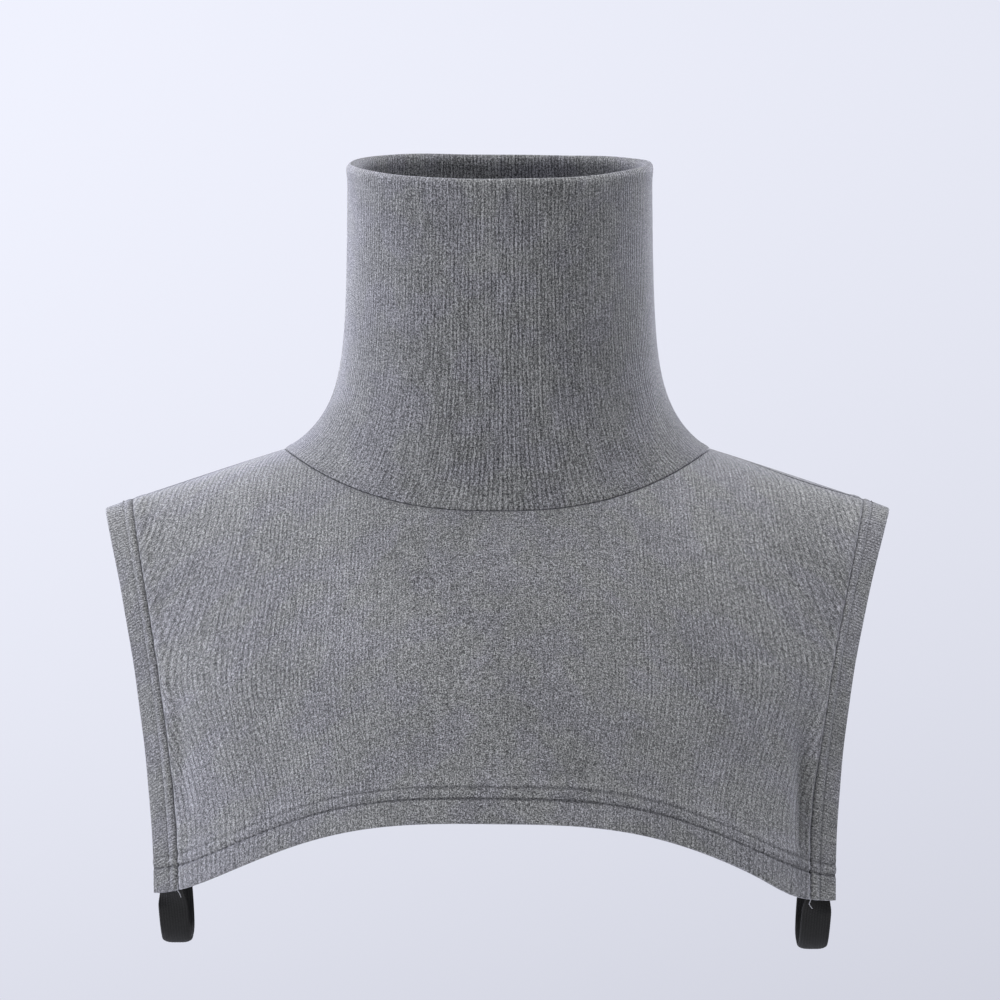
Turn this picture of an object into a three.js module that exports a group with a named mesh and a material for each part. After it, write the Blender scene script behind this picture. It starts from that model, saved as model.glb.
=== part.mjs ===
// A turtleneck dickey: a tall doubled collar on a short front and back bib, which two slack elastic
// straps join under the arms. Millimetres, +Z up, with the front of the garment towards -Y.
// The origin is the middle of the neck opening, level with the tops of the shoulder seams.
// Left and right are -X and +X, as they are seen from the front.
import * as THREE from "three";

// Cloth
const clothThickness = 1.2;
const hemWidth = 17;
const hemPlies = 2; // the cloth is turned in once
const seamGap = 0.3;

// Shoulders and sides
const shoulderHalfWidth = 174.5;
const shoulderSlope = 0.354; // fall of the shoulder line for each millimetre outwards
const shoulderRounding = 50; // how far from the middle the slope sets in
const shoulderFullness = 29.5; // room past the shoulder tip before the shoulder has no depth left
const sideFullness = 27; // the same room past the side edge, at the fullest level
const flankStart = 0.77; // where a level section starts to straighten, as a share of its half width
const flankSlope = 0.5; // how much of its slope it keeps from there, at the fullest level
const archPower = 2.35; // squareness of the arch from the shoulder line down to the chest
const sectionPower = 2.2; // squareness of a level section through the body
const sideCurve = 1.8; // how soon below the shoulder the side edges run in
const sideDrawLeft = -0.5; // how much further in each edge is drawn, halfway down
const sideDrawRight = 1;

// Neck opening
const neckHalfWidth = 94.5;
const neckCurvePower = 2.5; // how late the neck seam climbs towards the shoulder

// Front and back bibs
const hemAside = -1.2; // the hems hang this far to the right of the neck
const hemSlant = 1.5; // the hems hang lower by this at the right corner, and higher at the left
const hemSquareness = 3; // how late a hem leaves its level middle
const hemFlatness = 1.85; // how soon it is level again at its corners
const chestMargin = 29; // from the lowest corner of a hem down to the fullest level
const front = {
  facing: -1,
  depth: 115, // from the shoulder line out to the fullest level
  neckDrop: 27.4,
  length: 160.2, // from the origin down to the middle of the hem
  hemRise: 35.8, // how much lower the hem's corners hang than its middle
  hemHalfWidth: 149,
};
const back = {
  facing: 1,
  depth: 100,
  neckDrop: 11,
  length: 155.5,
  hemRise: 38,
  hemHalfWidth: 152,
};

// The shoulder seams leave the shoulder line by this share of the way forward, halfway along.
const seamForwardLeft = 0.055;
const seamForwardRight = 0.11;

// Collar
const collarThickness = 2.6; // two plies, folded at the top
const collarHeight = 125.3; // from the origin up to the fold, along the leaning middle line
const collarHalfWidth = 66.9;
const collarAside = 0.8; // the tube stands this far to the right of the neck opening
const collarSpread = 1.6; // how much wider the tube is at its foot, each side
const collarHalfDepth = 60;
const collarFootForward = 10; // the tube's middle line starts this far in front of the shoulder line
const collarLean = THREE.MathUtils.degToRad(9.1);
const flareLengthSide = 17; // over which the foot of the collar runs out onto the shoulders
const flareLengthFront = 24;
const flareLengthBack = 18;

// Elastic straps
const strapWidth = 13;
const strapThickness = 1.2;
const strapInset = 7.2; // from the side edge in to the strap's middle line
const strapOverlap = 13; // sewn up behind the hem
const strapDrop = 25; // how far the slack loop hangs below the hem
const strapSwing = 2; // how far its bottom hangs in towards the body
const strapTwist = 8; // length below the hem over which the loop turns to face forwards
const strapClearance = 0.8;

// One side of the slack loop: shares of the way to the other bib, and of the strap's drop.
const loopShape = [
  { across: 0.0, drop: 0.3 },
  { across: 0.03, drop: 0.62 },
  { across: 0.14, drop: 0.88 },
  { across: 0.31, drop: 0.98 },
];

// Divisions of the meshes
const neckSteps = 22;
const shoulderSteps = 5;
const bibRows = 11;
const collarRows = 11;
const foldSteps = 4;
const collarRowCrowding = 1.5; // crowds the collar's rows towards its curved foot
const overlapSteps = 3;
const strapSteps = 26;

// Steps for slopes taken by differences
const smallStep = 1e-4;
const edgeStep = 0.01;

const mix = (a, b, share) => a + (b - a) * share;
const evenly = (count, from, to) =>
  Array.from({ length: count + 1 }, (_, i) => mix(from, to, i / count));

// The shape that the worn cloth keeps. A section at any x is an arch: it starts level on the
// shoulder line and falls away to the chest on one side and the back on the other.
const ridgeHeight = (x) =>
  shoulderSlope *
  (Math.hypot(neckHalfWidth, shoulderRounding) - Math.hypot(x, shoulderRounding));

for (const bib of [front, back]) {
  bib.height = ridgeHeight(0) + bib.length + bib.hemRise + chestMargin;
}

// How far a level section has gone back from its middle, at a share of its half width. The side
// edges face more forwards than the curve would have them, the more so towards the hem.
function sectionFall(share, fall) {
  const curved = Math.min(share, flankStart);
  const slope = sectionPower * flankStart ** (sectionPower - 1) * mix(1, flankSlope, fall);
  return curved ** sectionPower + slope * (share - curved);
}

// A point of the worn form, where reach runs from 0 on the shoulder line to 1 at the fullest level,
// and is negative on the back.
function bodyPoint(x, reach) {
  const bib = reach >= 0 ? front : back;
  const fall = Math.abs(reach) ** archPower;
  const limit = mix(shoulderHalfWidth + shoulderFullness, bib.hemHalfWidth + sideFullness, fall);
  const depth = bib.depth * (1 - sectionFall(Math.abs(x) / limit, fall));
  const out = depth * (1 - (1 - fall) ** archPower) ** (1 / archPower);
  return new THREE.Vector3(x, bib.facing * out, ridgeHeight(x) - bib.height * fall);
}

function bodyNormal(x, reach) {
  const alongX = bodyPoint(x + smallStep, reach).sub(bodyPoint(x - smallStep, reach));
  const step = reach >= 0 ? smallStep : -smallStep;
  const alongReach = bodyPoint(x, reach + step).sub(bodyPoint(x, reach));
  if (step < 0) alongReach.negate();
  return alongReach.cross(alongX).normalize();
}

const reachAt = (bib, x, z) =>
  -bib.facing * ((ridgeHeight(x) - z) / bib.height) ** (1 / archPower);

// The neck seam, by the angle from the +X shoulder round by the front, pushed out by offset.
function neckSeam(angle, offset) {
  const bib = Math.sin(angle) >= 0 ? front : back;
  const x = (neckHalfWidth + offset) * Math.cos(angle);
  const sink = 1 - Math.abs(Math.cos(angle)) ** neckCurvePower;
  const z = ridgeHeight(neckHalfWidth + offset) - (bib.neckDrop + offset) * sink;
  return { x, reach: reachAt(bib, x, z) };
}

// The neck angle at which each bib starts, just past the shoulder line.
const cornerAngle = seamGap / neckHalfWidth;

// The share of a bib's half width that its neckline takes.
const neckShare = neckHalfWidth / front.hemHalfWidth;

// The neck angle of a bib at u, which runs from -1 on the left to 1 on the right.
const neckAngle = (bib, u) =>
  -bib.facing * mix(Math.PI - cornerAngle, cornerAngle, (u / neckShare + 1) / 2);

// Half the gap between the two bibs, as a share of the way forward from the shoulder line.
function halfGapReach(x, forward) {
  const onward = bodyPoint(x, forward + smallStep).distanceTo(bodyPoint(x, forward));
  return ((seamGap / 2) * smallStep) / onward;
}

// The top of a bib follows the neck seam, and past it the shoulder seams.
function bibTop(bib, u) {
  if (Math.abs(u) <= neckShare) return neckSeam(neckAngle(bib, u), seamGap);
  const side = Math.sign(u);
  const corner = neckSeam(neckAngle(bib, side * neckShare), seamGap);
  const share = (Math.abs(u) - neckShare) / (1 - neckShare);
  const x = mix(corner.x, side * shoulderHalfWidth, share);
  const forward = (side > 0 ? seamForwardRight : seamForwardLeft) * Math.sin(Math.PI * share);
  return { x, reach: forward - bib.facing * halfGapReach(x, forward) };
}

function bibHem(bib, u) {
  const x = bib.hemHalfWidth * u + hemAside;
  const arch = 1 - (1 - Math.min(Math.abs(u), 1) ** hemSquareness) ** hemFlatness;
  return { x, reach: reachAt(bib, x, -bib.length - bib.hemRise * arch - hemSlant * u) };
}

// Where a bib's cloth is: u runs across it and v from its top seams, 0, down to its hem, 1.
function onBib(bib, u, v) {
  const top = bibTop(bib, u);
  const hem = bibHem(bib, u);
  const curved = 1 - (1 - v ** archPower) ** sideCurve;
  const inwards = mix(v, curved, Math.abs(u));
  const draw = (u > 0 ? -sideDrawRight : sideDrawLeft) * Math.sin(Math.PI * v ** 2);
  const drawn = draw * Math.abs(u) ** 3;
  return { x: mix(top.x, hem.x, inwards) + drawn, reach: mix(top.reach, hem.reach, v) };
}

function bibPoint(bib, u, v, inset) {
  const { x, reach } = onBib(bib, u, v);
  return bodyPoint(x, reach).addScaledVector(bodyNormal(x, reach), -inset);
}

// The u at a distance in from the side edge, and the v at a distance up from the hem.
function besideEdge(bib, v, distance) {
  const step = bibPoint(bib, 1, v, 0).distanceTo(bibPoint(bib, 1 - edgeStep, v, 0));
  return 1 - (distance * edgeStep) / step;
}
function aboveHem(bib, u, distance) {
  const step = bibPoint(bib, u, 1, 0).distanceTo(bibPoint(bib, u, 1 - edgeStep, 0));
  return 1 - (distance * edgeStep) / step;
}

// Joins a grid of outer points and one of inner points into a closed sheet.
function sheet(outer, inner) {
  const rows = outer.length;
  const columns = outer[0].length;
  const points = [...outer.flat(), ...inner.flat()];
  const within = rows * columns;
  const faces = [];
  const quad = (a, b, c, d) => faces.push([a, b, c], [a, c, d]);
  const at = (row, column) => row * columns + column;
  for (let r = 0; r + 1 < rows; r++) {
    for (let c = 0; c + 1 < columns; c++) {
      quad(at(r, c), at(r, c + 1), at(r + 1, c + 1), at(r + 1, c));
      faces.push([within + at(r, c), within + at(r + 1, c + 1), within + at(r, c + 1)]);
      faces.push([within + at(r, c), within + at(r + 1, c), within + at(r + 1, c + 1)]);
    }
  }
  const edge = (a, b) => quad(b, a, within + a, within + b);
  for (let c = 0; c + 1 < columns; c++) {
    edge(at(0, c), at(0, c + 1));
    edge(at(rows - 1, c + 1), at(rows - 1, c));
  }
  for (let r = 0; r + 1 < rows; r++) {
    edge(at(r + 1, 0), at(r, 0));
    edge(at(r, columns - 1), at(r + 1, columns - 1));
  }
  return closedGeometry(points, faces);
}

// Joins rings of points, the last one back to the first, into a closed hoop.
function hoop(rings) {
  const count = rings[0].length;
  const faces = [];
  rings.forEach((_, r) => {
    const next = (r + 1) % rings.length;
    for (let c = 0; c < count; c++) {
      const after = (c + 1) % count;
      const corners = [r * count + c, r * count + after, next * count + after, next * count + c];
      faces.push([corners[0], corners[1], corners[2]], [corners[0], corners[2], corners[3]]);
    }
  });
  return closedGeometry(rings.flat(), faces);
}

// A geometry whose faces point outwards.
function closedGeometry(points, faces) {
  const volume = faces.reduce(
    (sum, [a, b, c]) => sum + points[a].dot(points[b].clone().cross(points[c])),
    0,
  );
  const facing = volume > 0 ? faces : faces.map(([a, b, c]) => [a, c, b]);
  const geometry = new THREE.BufferGeometry().setFromPoints(points);
  geometry.setIndex(facing.flat());
  geometry.computeVertexNormals();
  return geometry;
}

// A bib is one ply of cloth, doubled where the hem is turned up along its bottom and its sides.
function bibGeometry(bib) {
  const turn = clothThickness; // width of the step where the doubled cloth ends
  const hemLines = [hemWidth + turn, hemWidth, 0];

  // A column keeps its u under the neckline, spreads from there to the side hem, or is a hem line.
  const neckColumns = evenly(neckSteps, -neckShare, neckShare).map((u) => ({ u, spread: 0 }));
  const sideColumns = [
    ...evenly(shoulderSteps, 0, 1).slice(1, -1).map((spread) => ({ spread })),
    ...hemLines.map((distance) => ({ spread: 1, distance })),
  ];
  const columns = [
    ...sideColumns.toReversed().map((column) => ({ ...column, side: -1 })),
    ...neckColumns,
    ...sideColumns.map((column) => ({ ...column, side: 1 })),
  ];
  const rows = [
    ...evenly(bibRows, 0, 1).slice(0, -1).map((share) => ({ share })),
    ...hemLines.map((distance) => ({ share: 1, distance })),
  ];
  const place = (row, column) => {
    const roughU = column.u ?? column.side * mix(neckShare, 1, column.spread);
    const v = row.share * aboveHem(bib, roughU, row.distance ?? hemWidth + turn);
    const outerU = besideEdge(bib, v, column.distance ?? hemWidth + turn);
    const u = column.u ?? column.side * mix(neckShare, outerU, column.spread);
    const hemmed = row.distance <= hemWidth || column.distance <= hemWidth;
    return { u, v, thickness: clothThickness * (hemmed ? hemPlies : 1) };
  };
  const grid = (depth) =>
    rows.map((row) =>
      columns.map((column) => {
        const { u, v, thickness } = place(row, column);
        return bibPoint(bib, u, v, thickness * depth);
      }),
    );
  return sheet(grid(0), grid(1));
}

// The collar's middle line leans forward from the foot of the collar.
const collarAxis = new THREE.Vector3(0, -Math.sin(collarLean), Math.cos(collarLean));
const collarFoot = new THREE.Vector3(0, -collarFootForward, 0);
const collarForward = new THREE.Vector3(0, -Math.cos(collarLean), -Math.sin(collarLean));

// The straight tube that the collar stands in, at a height along its middle line.
function tubePoint(angle, height) {
  const halfWidth = collarHalfWidth + collarSpread * (1 - height / collarHeight);
  return collarFoot
    .clone()
    .addScaledVector(collarAxis, height)
    .add(new THREE.Vector3(collarAside + halfWidth * Math.cos(angle), 0, 0))
    .addScaledVector(collarForward, collarHalfDepth * Math.sin(angle));
}

// The collar's outer ply follows the tube, and runs out to the neck seam at its foot.
function collarPoint(angle, share) {
  const seam = neckSeam(angle, 0);
  const foot = bodyPoint(seam.x, seam.reach);
  const footHeight = foot.clone().sub(collarFoot).dot(collarAxis);
  const flare = foot.sub(tubePoint(angle, footHeight));
  const flareLength = mix(
    flareLengthSide,
    Math.sin(angle) >= 0 ? flareLengthFront : flareLengthBack,
    Math.sin(angle) ** 2,
  );
  const height = mix(footHeight, collarHeight - collarThickness / 2, share);
  const left = Math.exp((footHeight - height) / flareLength);
  return tubePoint(angle, height).addScaledVector(flare, left);
}

function collarNormal(angle, share) {
  const around = collarPoint(angle + smallStep, share).sub(collarPoint(angle - smallStep, share));
  const up = collarPoint(angle, share + smallStep).sub(collarPoint(angle, share - smallStep));
  return up.cross(around).normalize();
}

function collarGeometry() {
  const angles = [front, back].flatMap((bib) =>
    evenly(neckSteps, bib.facing * neckShare, -bib.facing * neckShare).map((u) => neckAngle(bib, u)),
  );
  const heights = evenly(collarRows, 0, 1).map((share) => share ** collarRowCrowding);
  const ring = (share, inset, rise) =>
    angles.map((angle) =>
      collarPoint(angle, share)
        .addScaledVector(collarNormal(angle, share), -inset)
        .addScaledVector(collarAxis, rise),
    );
  const radius = collarThickness / 2;
  const fold = evenly(foldSteps, 0, Math.PI).slice(1, -1);
  return hoop([
    ...heights.map((share) => ring(share, 0, 0)),
    ...fold.map((turn) => ring(1, radius * (1 - Math.cos(turn)), radius * Math.sin(turn))),
    ...heights.toReversed().map((share) => ring(share, collarThickness, 0)),
  ]);
}

const up = new THREE.Vector3(0, 0, 1);
const sideways = new THREE.Vector3(1, 0, 0);

// A strap is sewn flat inside the corners of both bibs, and hangs between them in a slack loop.
function strapGeometry(side) {
  const inset = hemPlies * clothThickness + strapClearance + strapThickness / 2;
  const end = (bib) => {
    const u = side * besideEdge(bib, 1, strapInset);
    const { x, reach } = onBib(bib, u, 1);
    const along = up.clone().cross(bodyNormal(x, reach)).multiplyScalar(-bib.facing).normalize();
    const heights = evenly(overlapSteps, strapOverlap, 0);
    return { along, line: heights.map((h) => bibPoint(bib, u, aboveHem(bib, u, h), inset)) };
  };
  const ends = [end(front), end(back)];
  const [from, to] = ends.map(({ line }) => line.at(-1));
  const hang = (share, drop) => {
    const fall = new THREE.Vector3(-side * strapSwing * drop, 0, -strapDrop * drop);
    return from.clone().lerp(to, share).add(fall);
  };
  const path = new THREE.CatmullRomCurve3(
    [
      ...ends[0].line,
      ...loopShape.map(({ across, drop }) => hang(across, drop)),
      hang(0.5, 1),
      ...loopShape.toReversed().map(({ across, drop }) => hang(1 - across, drop)),
      ...ends[1].line.toReversed(),
    ],
    false,
    "centripetal",
  );
  const spots = evenly(strapSteps, 0, 1).map((share) => {
    const middle = path.getPointAt(share);
    const tangent = path.getTangentAt(share);
    const nearest = share < 0.5 ? 0 : 1;
    const below = (nearest ? to.z : from.z) - middle.z;
    const turned = THREE.MathUtils.smoothstep(below, 0, strapTwist);
    const across = ends[nearest].along.clone().lerp(sideways, turned);
    across.addScaledVector(tangent, -across.dot(tangent)).normalize();
    return { middle, across, normal: tangent.clone().cross(across).normalize() };
  });
  const grid = (lift) =>
    spots.map(({ middle, across, normal }) =>
      [-0.5, 0, 0.5].map((share) =>
        middle
          .clone()
          .addScaledVector(across, strapWidth * share)
          .addScaledVector(normal, strapThickness * lift),
      ),
    );
  return sheet(grid(0.5), grid(-0.5));
}

const greyKnit = new THREE.MeshStandardMaterial({ color: 0x6b6c71, roughness: 0.95, metalness: 0 });
const blackElastic = new THREE.MeshStandardMaterial({
  color: 0x1b1b1c,
  roughness: 0.75,
  metalness: 0,
});

const dickey = new THREE.Group();
const pieces = [
  ["collar", collarGeometry(), greyKnit],
  ["front_bib", bibGeometry(front), greyKnit],
  ["back_bib", bibGeometry(back), greyKnit],
  ["right_strap", strapGeometry(1), blackElastic],
  ["left_strap", strapGeometry(-1), blackElastic],
];
for (const [name, geometry, material] of pieces) {
  const mesh = new THREE.Mesh(geometry, material.clone());
  mesh.name = name;
  dickey.add(mesh);
}

export default dickey;
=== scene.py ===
# Turtleneck dickey in heather grey rib knit, in the shape that it keeps when it is worn.
# Sizes are millimetres until a mesh is made. +Z is up and the front faces -Y.
import math

import bpy
import numpy as np
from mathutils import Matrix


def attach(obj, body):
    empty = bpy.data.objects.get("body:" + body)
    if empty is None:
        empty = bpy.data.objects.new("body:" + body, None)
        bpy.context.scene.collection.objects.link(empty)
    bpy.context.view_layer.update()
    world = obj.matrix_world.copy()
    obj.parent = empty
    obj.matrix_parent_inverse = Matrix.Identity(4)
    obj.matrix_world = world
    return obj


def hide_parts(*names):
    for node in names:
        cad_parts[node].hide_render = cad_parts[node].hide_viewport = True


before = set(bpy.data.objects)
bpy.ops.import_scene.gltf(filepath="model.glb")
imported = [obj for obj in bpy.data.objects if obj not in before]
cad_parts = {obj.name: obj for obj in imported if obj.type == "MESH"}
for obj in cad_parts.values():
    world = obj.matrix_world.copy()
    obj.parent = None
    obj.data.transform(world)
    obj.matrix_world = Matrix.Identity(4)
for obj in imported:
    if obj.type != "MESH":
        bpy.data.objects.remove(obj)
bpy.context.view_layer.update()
metresPerMm = 0.001
print("frame loaded:", ", ".join(sorted(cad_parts)))

# The shape of the worn cloth, shared by every piece
worn = {
    "shoulderHalfWidth": 174.5, "shoulderSlope": 0.354, "shoulderRounding": 50,
    "shoulderFullness": 29.5, "sideFullness": 27,
    "flankStart": 0.77, "flankSlope": 0.5, "archPower": 2.35, "sectionPower": 2.2,
    "sideCurve": 1.8, "sideDrawLeft": -0.5, "sideDrawRight": 1,
    "neckHalfWidth": 94.5, "neckCurvePower": 2.5,
    "hemAside": -1.2, "hemSlant": 1.5, "hemSquareness": 3, "hemFlatness": 1.85,
    "chestMargin": 29,
    "seamForwardLeft": 0.055, "seamForwardRight": 0.11, "seamGap": 0.1,
}

# The two bibs
bibSizes = ("facing", "depth", "neckDrop", "length", "hemRise", "hemHalfWidth")
frontBib = dict(zip(bibSizes, (-1, 115, 27.4, 160.2, 35.8, 149)))
backBib = dict(zip(bibSizes, (1, 100, 11, 155.5, 38, 152)))

tiny = 1e-4  # step for slopes taken by differences
edgeStep = 0.01  # the same, in from an edge of a bib


def mix(a, b, share):
    return a + (b - a) * share


def smooth(value, start, end):
    # 0 before start, 1 after end, and an s-curve 3t^2 - 2t^3 between them. It may run backwards.
    t = np.clip((value - start) / (end - start), 0, 1)
    return t * t * (3 - 2 * t)


def ease(value, start, end, low, high):
    # From low at start to high at end.
    return mix(low, high, smooth(value, start, end))


def bell(value, middle, width):
    # A gaussian bump, 1 at its middle.
    return np.exp(-(((value - middle) / width) ** 2))


def unit(vectors):
    return vectors / np.linalg.norm(vectors, axis=-1, keepdims=True)


def apart(a, b):
    return np.linalg.norm(a - b, axis=-1)


def turnSteps(count):
    return np.linspace(0, 2 * math.pi, count, endpoint=False)


def runLength(points, axis=0):
    # Length along a grid of points from its first row or column, summed from the chords.
    chords = np.linalg.norm(np.diff(points, axis=axis), axis=-1)
    start = np.zeros_like(np.take(chords, [0], axis=axis))
    return np.concatenate([start, np.cumsum(chords, axis=axis)], axis=axis)


def ridgeHeight(x):
    # The shoulder line: a straight slope outwards, rounded over the middle by a hyperbola.
    rounding = worn["shoulderRounding"]
    return worn["shoulderSlope"] * (np.hypot(worn["neckHalfWidth"], rounding) - np.hypot(x, rounding))


for bib in (frontBib, backBib):
    bib["height"] = ridgeHeight(0) + bib["length"] + bib["hemRise"] + worn["chestMargin"]


def sectionFall(share, fall):
    # share^power up to flankStart, and from there a straight line that keeps a part of its slope.
    power, start = worn["sectionPower"], worn["flankStart"]
    slope = power * start ** (power - 1) * mix(1, worn["flankSlope"], fall)
    curved = np.minimum(share, start)
    return curved**power + slope * (share - curved)


def bodyPoint(x, reach):
    # For each x an arch over the shoulder line: with fall = reach^power, the point lies
    # depth * (1 - (1 - fall)^power)^(1/power) out and height * fall down. reach runs to 1 in front
    # and to -1 behind, and depth shrinks towards the sides by sectionFall.
    x, reach = np.broadcast_arrays(np.asarray(x, float), np.asarray(reach, float))
    ahead = reach >= 0
    pick = lambda key: np.where(ahead, frontBib[key], backBib[key])
    power = worn["archPower"]
    fall = np.abs(reach) ** power
    atShoulder = worn["shoulderHalfWidth"] + worn["shoulderFullness"]
    limit = mix(atShoulder, pick("hemHalfWidth") + worn["sideFullness"], fall)
    depth = pick("depth") * (1 - sectionFall(np.abs(x) / limit, fall))
    out = depth * (1 - (1 - fall) ** power) ** (1 / power)
    return np.stack([x, pick("facing") * out, ridgeHeight(x) - pick("height") * fall], -1)


def bodyNormal(x, reach):
    alongX = bodyPoint(x + tiny, reach) - bodyPoint(x - tiny, reach)
    step = np.where(np.asarray(reach) >= 0, tiny, -tiny)
    alongReach = (bodyPoint(x, reach + step) - bodyPoint(x, reach)) * np.sign(step)[..., None]
    return unit(np.cross(alongReach, alongX))


def reachAt(bib, x, z):
    return -bib["facing"] * ((ridgeHeight(x) - z) / bib["height"]) ** (1 / worn["archPower"])


def neckSeam(bib, angle, offset):
    # x = half width * cos(angle), and the seam sinks below the shoulder line by
    # drop * (1 - |cos|^power).
    x = (worn["neckHalfWidth"] + offset) * np.cos(angle)
    sink = 1 - np.abs(np.cos(angle)) ** worn["neckCurvePower"]
    z = ridgeHeight(worn["neckHalfWidth"] + offset) - (bib["neckDrop"] + offset) * sink
    return x, reachAt(bib, x, z)


def neckAround(angle, offset):
    # The seam of the front bib for the front half of the circle, and of the back bib behind.
    seams = [np.stack(neckSeam(bib, angle, offset)) for bib in (frontBib, backBib)]
    return np.where(np.sin(angle) >= 0, *seams)


cornerAngle = worn["seamGap"] / worn["neckHalfWidth"]
neckShare = worn["neckHalfWidth"] / frontBib["hemHalfWidth"]


def neckAngle(bib, u):
    return -bib["facing"] * mix(math.pi - cornerAngle, cornerAngle, (u / neckShare + 1) / 2)


def halfGapReach(x, forward):
    # Half of the seam's gap as a step of reach.
    return worn["seamGap"] / 2 * tiny / apart(bodyPoint(x, forward + tiny), bodyPoint(x, forward))


def bibTop(bib, u):
    # The neck seam up to neckShare, then the shoulder seam, which bulges forward by a sine.
    neckX, neckReach = neckSeam(bib, neckAngle(bib, np.clip(u, -neckShare, neckShare)), worn["seamGap"])
    share = np.clip((np.abs(u) - neckShare) / (1 - neckShare), 0, 1)
    x = mix(neckX, np.sign(u) * worn["shoulderHalfWidth"], share)
    forward = np.where(u > 0, worn["seamForwardRight"], worn["seamForwardLeft"]) * np.sin(math.pi * share)
    shoulderReach = forward - bib["facing"] * halfGapReach(x, forward)
    return x, np.where(np.abs(u) <= neckShare, neckReach, shoulderReach)


def bibHem(bib, u):
    # The hem's height falls towards the corners by 1 - (1 - |u|^squareness)^flatness.
    x = bib["hemHalfWidth"] * u + worn["hemAside"]
    arch = 1 - (1 - np.minimum(np.abs(u), 1) ** worn["hemSquareness"]) ** worn["hemFlatness"]
    return x, reachAt(bib, x, -bib["length"] - bib["hemRise"] * arch - worn["hemSlant"] * u)


def onBib(bib, u, v):
    # Between the top and the hem, x follows v in the middle and runs in sooner at the sides.
    topX, topReach = bibTop(bib, u)
    hemX, hemReach = bibHem(bib, u)
    curved = 1 - (1 - v ** worn["archPower"]) ** worn["sideCurve"]
    inwards = mix(v, curved, np.abs(u))
    draw = np.where(u > 0, -worn["sideDrawRight"], worn["sideDrawLeft"]) * np.sin(math.pi * v**2)
    return mix(topX, hemX, inwards) + draw * np.abs(u) ** 3, mix(topReach, hemReach, v)


def bibPoint(bib, u, v):
    return bodyPoint(*onBib(bib, u, v))


def hemSpeed(bib, u):
    # Millimetres of cloth for a whole step of v, measured at the hem.
    return apart(bibPoint(bib, u, 1.0), bibPoint(bib, u, 1 - edgeStep)) / edgeStep


def topSpeed(bib, u):
    return apart(bibPoint(bib, u, edgeStep), bibPoint(bib, u, 0.0)) / edgeStep


def sideSpeed(bib, side, v):
    return apart(bibPoint(bib, side * 1.0, v), bibPoint(bib, side * (1 - edgeStep), v)) / edgeStep


def placePiece(name, points, patches):
    # points are millimetres, and a patch is a grid of their numbers with a grid of cloth
    # coordinates: each square becomes one face. The faces are turned round together if the volume
    # they enclose, a sum of a . (b x c), comes out negative.
    corners, clothPlaces = [], []
    for numbers, cloth in patches:
        for grid, into, width in ((numbers, corners, ()), (cloth, clothPlaces, (2,))):
            square = np.stack([grid[:-1, :-1], grid[:-1, 1:], grid[1:, 1:], grid[1:, :-1]], 2)
            into.append(square.reshape((-1, 4, *width)))
    corners, clothPlaces = np.concatenate(corners), np.concatenate(clothPlaces)
    a, b, c, d = (points[corners[:, k]] for k in range(4))
    volume = np.einsum("ij,ij->", a, np.cross(b, c)) + np.einsum("ij,ij->", a, np.cross(c, d))
    if volume < 0:
        corners, clothPlaces = corners[:, ::-1], clothPlaces[:, ::-1]
    mesh = bpy.data.meshes.new(name)
    mesh.vertices.add(len(points))
    mesh.vertices.foreach_set("co", (points * metresPerMm).ravel())
    mesh.loops.add(corners.size)
    mesh.loops.foreach_set("vertex_index", corners.ravel().astype(np.int32))
    mesh.polygons.add(len(corners))
    mesh.polygons.foreach_set("loop_start", np.arange(0, corners.size, 4, dtype=np.int32))
    mesh.update(calc_edges=True)
    mesh.uv_layers.new(name="cloth").data.foreach_set("uv", clothPlaces.ravel())
    mesh.validate()
    return addPiece(name, mesh)


def addPiece(name, mesh):
    mesh.polygons.foreach_set("use_smooth", np.ones(len(mesh.polygons), bool))
    piece = bpy.data.objects.new(name, mesh)
    bpy.context.scene.collection.objects.link(piece)
    print(f"{name}: {len(mesh.polygons) * 2} triangles")
    return piece


def addAttribute(piece, name, values):
    piece.data.attributes.new(name, "FLOAT", "POINT").data.foreach_set("value", values.ravel())


def numbersOf(grid, first=0):
    return first + np.arange(grid.shape[0] * grid.shape[1]).reshape(grid.shape[:2])


def closed(grid, *axes):
    # The grid with its first row or column once more at the end, so that it comes full circle.
    for axis in axes:
        grid = np.concatenate([grid, np.take(grid, [0], axis=axis)], axis=axis)
    return grid


def placeRing(name, points, cloth):
    # A grid of points that comes full circle both ways.
    return placePiece(name, points.reshape(-1, 3), [(closed(numbersOf(points), 1, 0), cloth)])


def sheetPatches(outer, inner, cloth):
    # Two layers of a sheet that share the points of their border. The inner layer is turned over.
    outerNumbers = numbersOf(outer)
    innerNumbers = outerNumbers.copy()
    innerNumbers[1:-1, 1:-1] = numbersOf(inner[1:-1, 1:-1], outerNumbers.size)
    points = np.concatenate([outer.reshape(-1, 3), inner[1:-1, 1:-1].reshape(-1, 3)])
    return points, [(outerNumbers, cloth), (innerNumbers[:, ::-1], cloth[:, ::-1])]


def roundedIn(distance, radius):
    # How far a surface has curved in at a distance from its edge: a quarter circle of the radius.
    share = np.clip(1 - distance / radius, 0, 1)
    return radius * (1 - np.sqrt(1 - share**2))


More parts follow.
